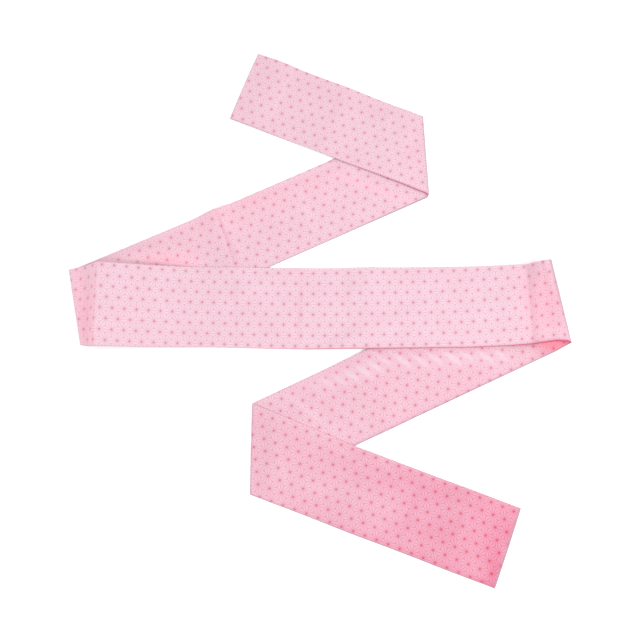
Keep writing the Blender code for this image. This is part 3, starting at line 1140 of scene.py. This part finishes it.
def weave(nodes, uv):
    """The height of a plain weave, and the tone of its uneven threads."""
    scaled = nodes.add("ShaderNodeVectorMath", operation="SCALE")
    nodes.link(uv, scaled.inputs[0])
    scaled.inputs["Scale"].default_value = STAR_PITCH / THREAD_PITCH * pi
    split = nodes.add("ShaderNodeSeparateXYZ")
    nodes.link(scaled, split.inputs[0])
    warp = nodes.sum("ABSOLUTE", nodes.sum("SINE", split.outputs["X"]))
    weft = nodes.sum("ABSOLUTE", nodes.sum("SINE", split.outputs["Y"]))
    height = nodes.sum("MULTIPLY", nodes.sum("ADD", warp, weft), 0.5)
    streaks = []
    for stretch in STREAKS:
        mapping = nodes.add("ShaderNodeMapping")
        mapping.inputs["Scale"].default_value = stretch
        nodes.link(uv, mapping.inputs["Vector"])
        streaks.append(nodes.noise(mapping, *STREAK_NOISE))
    both = nodes.sum("ADD", *streaks)
    return height, nodes.mapped(both, *STREAK_RANGE, *THREAD_TONES, ramp="LINEAR")


def make_floor():
    bpy.ops.mesh.primitive_plane_add(size=FLOOR_SIZE)
    floor = bpy.context.object
    floor.name = "floor"
    nodes = Nodes("white_floor")
    nodes.shader.inputs["Base Color"].default_value = FLOOR_COLOUR
    nodes.shader.inputs["Roughness"].default_value = FLOOR_ROUGHNESS
    nodes.shader.inputs["Specular IOR Level"].default_value = 0.0
    floor.data.materials.append(nodes.material)


def aim(obj, target):
    way = np.array(target) - np.array(obj.location)
    across_way = np.hypot(way[0], way[1])
    obj.rotation_euler = (np.arctan2(across_way, -way[2]), 0.0, np.arctan2(-way[0], way[1]))


def light_scene():
    scene = bpy.context.scene
    world = bpy.data.worlds.new("studio")
    world.use_nodes = True
    background = world.node_tree.nodes["Background"]
    background.inputs["Color"].default_value = ROUND_TINT
    background.inputs["Strength"].default_value = ROUND_LIGHT
    scene.world = world
    light = bpy.data.lights.new("key", "AREA")
    light.shape = "DISK"
    light.size = KEY_SIZE
    light.energy = KEY_POWER
    lamp = bpy.data.objects.new("key", light)
    lamp.location = KEY_PLACE
    aim(lamp, (0.0, 0.0, 0.0))
    scene.collection.objects.link(lamp)
    scene.view_settings.view_transform = "Standard"
    scene.view_settings.look = "None"


def add_camera(centre):
    scene = bpy.context.scene
    camera = bpy.data.cameras.new("camera")
    camera.lens = CAMERA_LENS
    camera.sensor_width = SENSOR
    camera.clip_start = CLIP_START
    view = bpy.data.objects.new("camera", camera)
    view.location = (-centre[0], -CAMERA_BACK - centre[1], CAMERA_HEIGHT)
    aim(view, (-centre[0], -centre[1], 0.0))
    scene.collection.objects.link(view)
    scene.camera = view


def make_band():
    """The five stretches, cut from one band; returns them with the length of each."""
    side = edge_sides()
    grid, limits = band_rows(side)
    centre = frame_centre(grid)
    arcs = arc_lengths(grid)
    normals = grid_normals(grid)
    half = half_walls(grid, side, arcs)[..., None]
    ripple = puckers(side, arcs)[..., None]
    shell = grid - centre
    face = shell + normals * (half + ripple)
    back = shell - normals * (half - ripple)
    face_print, back_print = face_prints(grid, limits, side, arcs)
    tints = cloth_tints(grid, fold_limits(limits), side, arcs)
    layers = (face, back, face_print, back_print, *tints)
    material = cloth_material()
    middle = len(side) // 2
    made = {}
    for name in STRETCHES:
        start, end = limits[name]
        piece = make_stretch(name, slice(start, end + 1), layers, material)
        made[name] = (piece, arcs[end, middle] - arcs[start, middle])
    return made, centre


def frame_centre(grid):
    """The middle of the band in plan, which lies over the frame's origin."""
    low = grid.min(axis=(0, 1))
    high = grid.max(axis=(0, 1))
    return (low + high) / 2 * (1.0, 1.0, 0.0)


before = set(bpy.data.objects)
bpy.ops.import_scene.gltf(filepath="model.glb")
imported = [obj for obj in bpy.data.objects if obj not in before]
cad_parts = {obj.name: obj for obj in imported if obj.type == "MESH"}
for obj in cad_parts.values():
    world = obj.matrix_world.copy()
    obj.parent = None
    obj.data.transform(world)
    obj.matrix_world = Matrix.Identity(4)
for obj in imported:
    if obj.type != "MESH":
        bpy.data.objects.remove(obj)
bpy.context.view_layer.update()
stretches, band_centre = make_band()
for node, (piece, length) in stretches.items():
    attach(piece, "root")
    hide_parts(node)
add_camera(band_centre)
light_scene()
make_floor()
